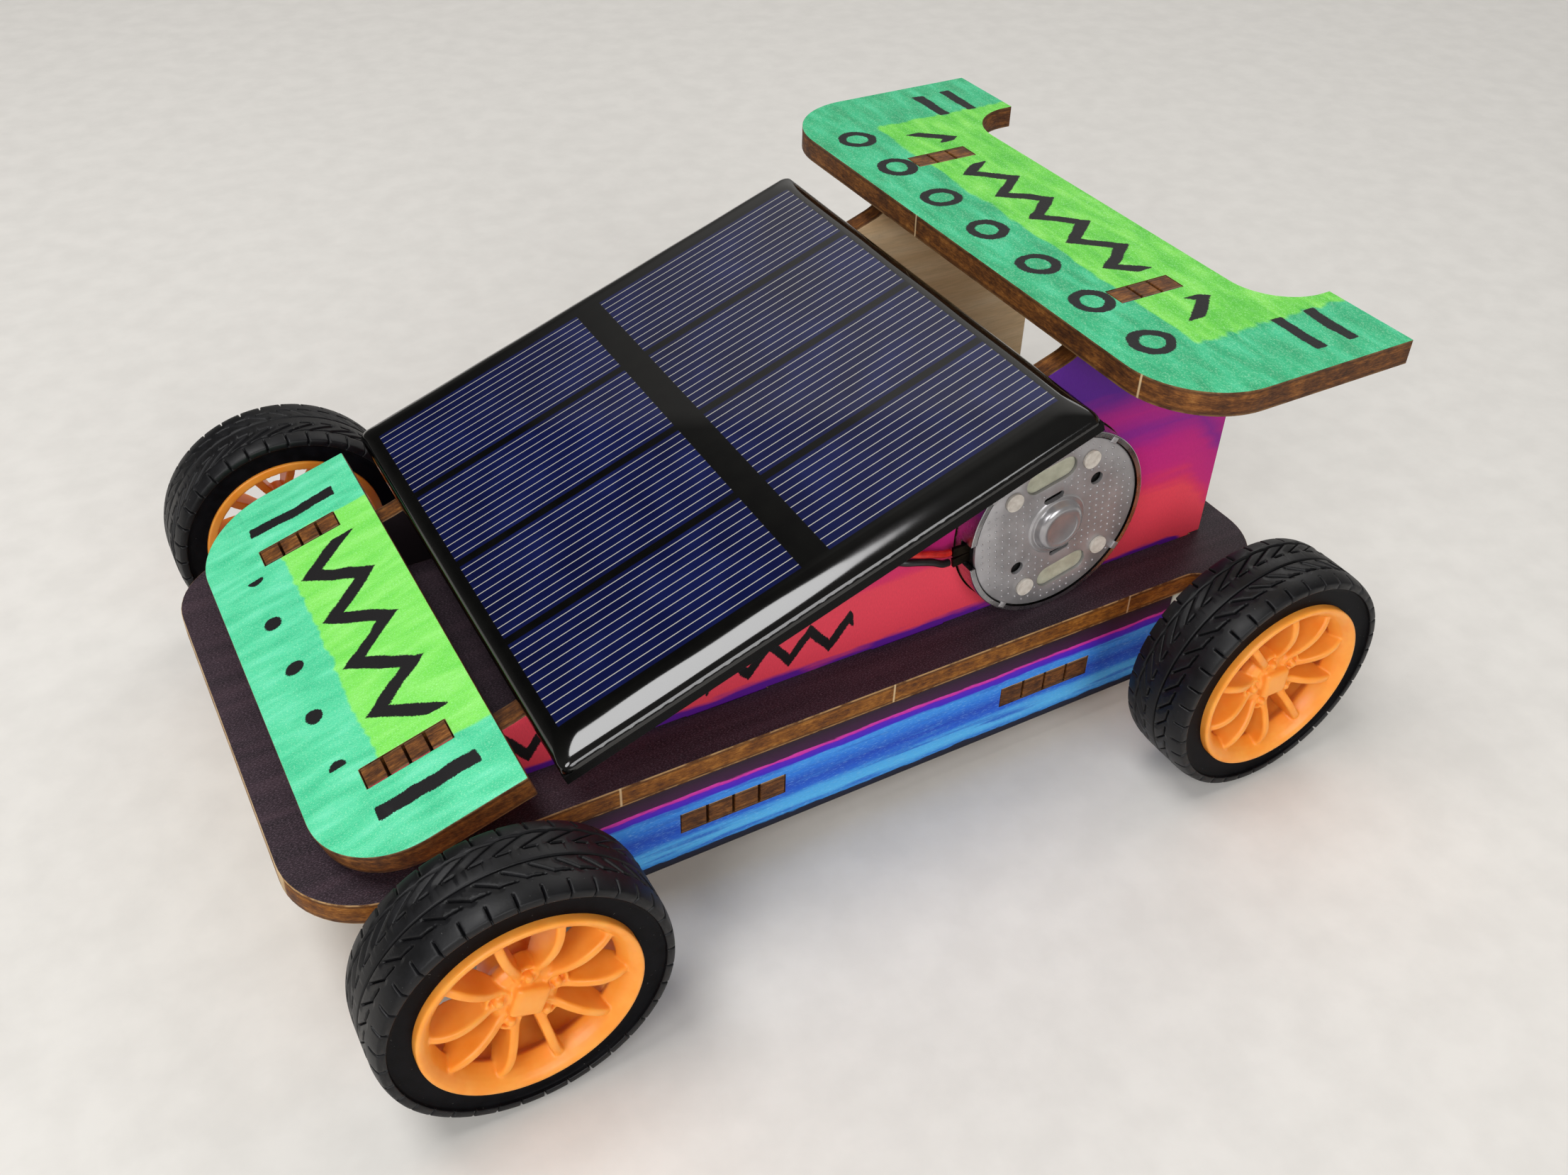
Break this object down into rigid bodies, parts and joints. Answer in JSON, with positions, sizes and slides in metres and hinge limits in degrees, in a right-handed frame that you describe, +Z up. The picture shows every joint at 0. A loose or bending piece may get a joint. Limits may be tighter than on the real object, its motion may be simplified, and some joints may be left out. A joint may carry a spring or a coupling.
{
  "type": "solar model race car",
  "caption": "Small solar-powered model race car of slotted plywood plates with a sloped solar panel, a rear wing, a side-mounted can motor and spoked wheels with treaded tyres.",
  "frame": {"origin": "on the floor under the middle of the car's box", "axes": "+X towards the car's nose, +Y to its left (the motor side), +Z up, with the tyres on Z = 0"},
  "size_m": [0.1262, 0.0922, 0.0573],
  "materials": {
    "ply_dark": "plywood, dark marker on the faces, burnt edges",
    "ply_blue": "plywood, blue marker on the faces, burnt edges",
    "ply_bare": "bare plywood, burnt edges",
    "ply_pink": "plywood, pink marker on the outer face, burnt edges",
    "ply_green": "plywood, green marker on the upper face, burnt edges",
    "panel_board": "matt black circuit board",
    "solar_cell": "dark blue silicon with fine pale lines",
    "panel_resin": "clear gloss epoxy over black",
    "foam_tape": "white foam tape",
    "solder": "bright solder",
    "motor_steel": "zinc-plated sheet steel",
    "white_plastic": "off-white moulded plastic",
    "magnet": "dark ferrite",
    "bronze": "bronze and brass",
    "axle_steel": "plain steel",
    "copper": "enamelled copper",
    "belt_rubber": "black round rubber belt",
    "rim_orange": "orange moulded plastic, satin",
    "tyre_black": "satin black rubber",
    "wire_red": "red insulation",
    "wire_black": "black insulation"
  },
  "bodies": {
    "chassis": {"deck_plate": "ply_dark", "left_sill": "ply_blue", "right_sill": "ply_blue", "tie_plate": "ply_bare", "left_side_panel": "ply_pink", "right_side_panel": "ply_pink", "hood_plate": "ply_green", "rear_wing": "ply_green", "panel_board": "panel_board", "solar_cells": "solar_cell", "panel_resin": "panel_resin", "panel_tape": "foam_tape", "panel_pads": "solder", "motor_can": "motor_steel", "motor_end_plate": "motor_steel", "motor_rivets": "white_plastic", "motor_end_bell": "white_plastic", "motor_magnet": "magnet", "motor_bushes": "bronze", "motor_brushes": "bronze", "motor_terminals": "bronze", "axle_bushes": "white_plastic", "drive_belt": "belt_rubber", "red_lead": "wire_red", "black_lead": "wire_black"},
    "front_wheelset": {"front_axle": "axle_steel", "front_left_rim": "rim_orange", "front_right_rim": "rim_orange", "front_left_tyre": "tyre_black", "front_right_tyre": "tyre_black"},
    "rear_wheelset": {"rear_axle": "axle_steel", "axle_pulley": "white_plastic", "rear_left_rim": "rim_orange", "rear_right_rim": "rim_orange", "rear_left_tyre": "tyre_black", "rear_right_tyre": "tyre_black"},
    "motor_rotor": {"motor_shaft": "axle_steel", "motor_core": "axle_steel", "motor_windings": "copper", "motor_commutator": "copper", "motor_pulley": "white_plastic"}
  },
  "joints": [
    {"name": "front_wheels_spin", "type": "hinge", "parent": "chassis", "child": "front_wheelset", "pos_m": [0.04612, 0, 0.01525], "axis": [0, 1, 0], "continuous": true},
    {"name": "rear_wheels_spin", "type": "hinge", "parent": "chassis", "child": "rear_wheelset", "pos_m": [-0.04788, 0, 0.01525], "axis": [0, 1, 0], "continuous": true},
    {"name": "motor_spin", "type": "hinge", "parent": "chassis", "child": "motor_rotor", "pos_m": [-0.02848, 0, 0.03185], "axis": [0, 1, 0], "continuous": true}
  ],
  "couplings": [
    {"joint": "motor_spin", "follows": "rear_wheels_spin", "ratio": 3.2}
  ]
}
